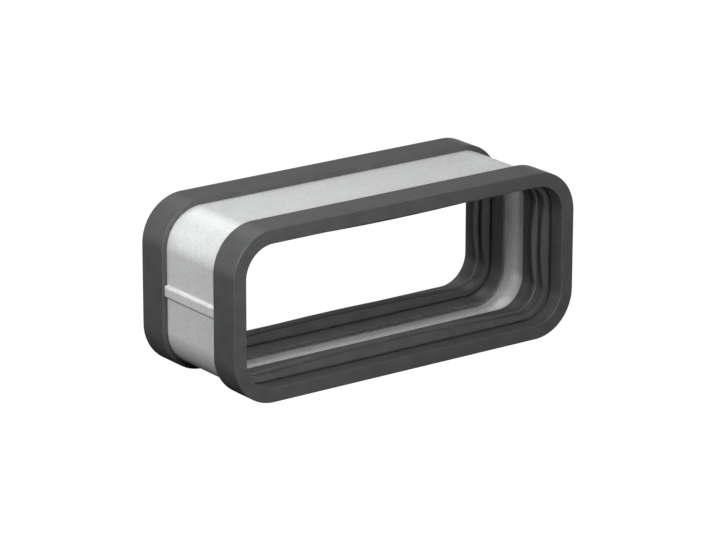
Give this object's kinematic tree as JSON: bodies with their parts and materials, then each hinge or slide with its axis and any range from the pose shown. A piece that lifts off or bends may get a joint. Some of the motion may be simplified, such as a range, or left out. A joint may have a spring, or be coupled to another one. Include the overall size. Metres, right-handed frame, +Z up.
{
  "type": "flat duct coupler",
  "caption": "Flat rounded-rectangular galvanised steel duct sleeve with rubber lip-seal rings over its ends, for joining flat ventilation ducts end to end.",
  "frame": {"origin": "centre of the coupler, on the duct's axis, half-way between its two end faces", "axes": "+X along the long side, away from the lock seam; +Y along the duct, from the front end to the rear end; +Z up, across the flat height"},
  "size_m": [0.235, 0.09, 0.099],
  "materials": {
    "galvanised_sheet": "hot-dip galvanised sheet, fine pale grain, semi-matt",
    "gasket_rubber": "moulded dark grey rubber, smooth and semi-matt"
  },
  "bodies": {
    "root": {"sleeve": "galvanised_sheet", "front_gasket": "gasket_rubber", "rear_gasket": "gasket_rubber"}
  },
  "joints": []
}
